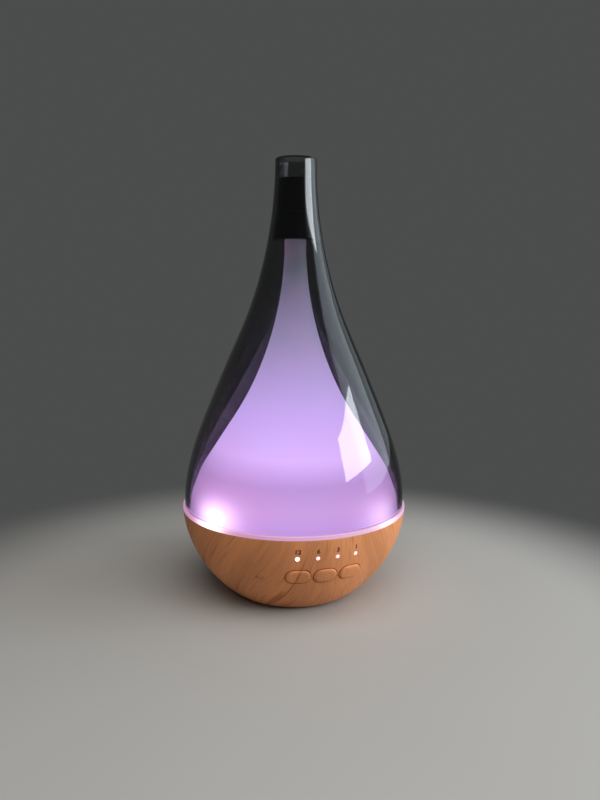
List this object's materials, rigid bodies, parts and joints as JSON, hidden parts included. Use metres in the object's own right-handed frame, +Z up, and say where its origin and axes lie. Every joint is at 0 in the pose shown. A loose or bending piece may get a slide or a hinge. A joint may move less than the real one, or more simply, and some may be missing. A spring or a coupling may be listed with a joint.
{
  "type": "essential oil diffuser",
  "caption": "Ultrasonic essential oil diffuser: wood-grain bowl with water tank and touch panel, frosted inner cover with chimney, and smoked glass teardrop cover.",
  "frame": {"origin": "under the middle of the feet, on the surface it stands on", "axes": "+Z up along the axis of the covers, -Y towards the front, where the keys and indicators are"},
  "size_m": [0.12, 0.12, 0.2277],
  "materials": {
    "smoked_glass": "clear polished smoke-grey glass",
    "frosted_cover": "frosted translucent white, lit from below",
    "milky_tank": "milky translucent white",
    "wood_print": "printed wood grain, satin",
    "base_plastic": "fine textured brown plastic",
    "black_plastic": "satin black",
    "silicone": "translucent silicone",
    "disc_steel": "polished plate",
    "plate_steel": "stamped plate",
    "screw_steel": "zinc plated",
    "fan_plastic": "moulded black",
    "copper": "wound enamelled wire",
    "circuit_board": "green solder mask",
    "component_black": "moulded component",
    "socket_plastic": "moulded black",
    "contact_metal": "plated contact",
    "led_lens": "white package",
    "clear_lens": "clear light guide",
    "foot_rubber": "matte rubber"
  },
  "bodies": {
    "base": {"water_tank": "milky_tank", "disc_gasket": "silicone", "ultrasonic_disc": "disc_steel", "disc_retainer": "plate_steel", "retainer_screws": "screw_steel", "base_shell": "wood_print", "bottom_cover": "base_plastic", "case_screws": "screw_steel", "fan_frame": "fan_plastic", "fan_stator": "copper", "main_board": "circuit_board", "board_parts": "component_black", "board_screws": "screw_steel", "dc_jack": "socket_plastic", "jack_pin": "contact_metal", "led_ring_board": "circuit_board", "control_board": "circuit_board", "indicator_leds": "led_lens", "rubber_foot_1": "foot_rubber", "rubber_foot_2": "foot_rubber", "rubber_foot_3": "foot_rubber", "rubber_foot_4": "foot_rubber", "ring_led_1": "led_lens", "ring_led_2": "led_lens", "ring_led_3": "led_lens", "light_pipe_1": "clear_lens", "light_pipe_2": "clear_lens", "light_pipe_3": "clear_lens", "light_pipe_4": "clear_lens", "switch_body_1": "component_black", "switch_body_2": "component_black", "switch_body_3": "component_black"},
    "glass": {"glass_cover": "smoked_glass"},
    "cover": {"inner_cover": "frosted_cover", "mist_nozzle": "black_plastic"},
    "fan": {"fan_rotor": "fan_plastic"},
    "key_left": {"button_1": "wood_print", "switch_plunger_1": "component_black"},
    "key_middle": {"button_2": "wood_print", "switch_plunger_2": "component_black"},
    "key_right": {"button_3": "wood_print", "switch_plunger_3": "component_black"}
  },
  "joints": [
    {"name": "cover_lift", "type": "slide", "parent": "base", "child": "cover", "axis": [0, 0, 1], "range_m": [0, 0.06]},
    {"name": "glass_lift", "type": "slide", "parent": "cover", "child": "glass", "axis": [0, 0, 1], "range_m": [0, 0.175]},
    {"name": "fan_spin", "type": "hinge", "parent": "base", "child": "fan", "pos_m": [0, 0.009, 0.008], "axis": [0, 0, 1], "continuous": true},
    {"name": "key_left_press", "type": "slide", "parent": "base", "child": "key_left", "axis": [0, 1, 0], "range_m": [0, 0.0006], "stiffness_N_per_m": 500, "springref_m": -0.001},
    {"name": "key_middle_press", "type": "slide", "parent": "base", "child": "key_middle", "axis": [0, 1, 0], "range_m": [0, 0.0006], "stiffness_N_per_m": 500, "springref_m": -0.001},
    {"name": "key_right_press", "type": "slide", "parent": "base", "child": "key_right", "axis": [0, 1, 0], "range_m": [0, 0.0006], "stiffness_N_per_m": 500, "springref_m": -0.001}
  ]
}
